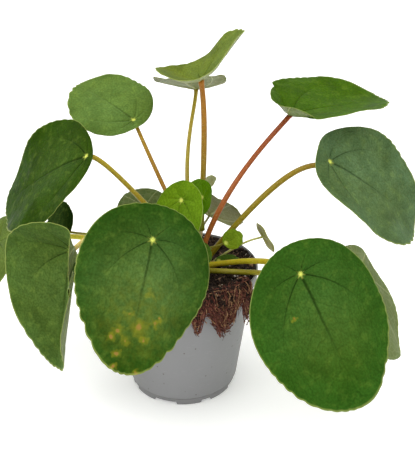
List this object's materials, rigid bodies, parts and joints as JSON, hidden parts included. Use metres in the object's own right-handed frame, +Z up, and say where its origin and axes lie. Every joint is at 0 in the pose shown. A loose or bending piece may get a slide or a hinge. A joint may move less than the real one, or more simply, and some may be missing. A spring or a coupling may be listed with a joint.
{
  "type": "potted plant",
  "caption": "Potted Chinese money plant: round shield-like leaves on long curved stalks from a short trunk, in a tapered plastic nursery pot",
  "frame": {"origin": "on the ground under the middle of the object's bounding box, level with the underside of the pot's foot ring; the pot's own axis stands about 3 mm right of it and 6 mm behind it", "axes": "+Z up, +X to the right of the picture's view and along the plant's widest spread, +Y away from the viewer"},
  "size_m": [0.398, 0.2374, 0.2793],
  "materials": {
    "pot_plastic": "matte",
    "potting_soil": "matte",
    "coir_fibre": "matte",
    "trunk_bark": "matte",
    "leaf_green": "satin",
    "leaf_young": "satin",
    "stalk_olive": "satin",
    "stalk_red": "satin"
  },
  "bodies": {
    "root": {"pot": "pot_plastic", "soil": "potting_soil", "coir_overhang": "coir_fibre", "trunk": "trunk_bark", "petiole_upper_left": "stalk_red", "blade_upper_left": "leaf_young", "petiole_left": "stalk_olive", "blade_left": "leaf_green", "petiole_left_back": "stalk_olive", "blade_left_back": "leaf_green", "petiole_left_front": "stalk_red", "blade_left_front": "leaf_green", "petiole_far_left": "stalk_olive", "blade_far_left": "leaf_green", "petiole_front": "stalk_olive", "blade_front": "leaf_green", "petiole_back_left": "stalk_olive", "blade_back_left": "leaf_green", "petiole_top": "stalk_olive", "blade_top": "leaf_green", "petiole_top_back": "stalk_olive", "blade_top_back": "leaf_green", "petiole_upper_right": "stalk_red", "blade_upper_right": "leaf_young", "petiole_right": "stalk_olive", "blade_right": "leaf_green", "petiole_right_front": "stalk_olive", "blade_right_front": "leaf_green", "petiole_right_low": "stalk_olive", "blade_right_low": "leaf_green", "petiole_centre": "stalk_olive", "blade_centre": "leaf_young", "petiole_centre_right": "stalk_red", "blade_centre_right": "leaf_young", "petiole_crown_back": "stalk_olive", "blade_crown_back": "leaf_green", "petiole_back_right": "stalk_olive", "blade_back_right": "leaf_green", "petiole_soil_round": "stalk_olive", "blade_soil_round": "leaf_young", "petiole_soil_right": "stalk_olive", "blade_soil_right": "leaf_green", "petiole_soil_low": "stalk_olive", "blade_soil_low": "leaf_green", "petiole_soil_front": "stalk_olive", "blade_soil_front": "leaf_green"}
  },
  "joints": []
}
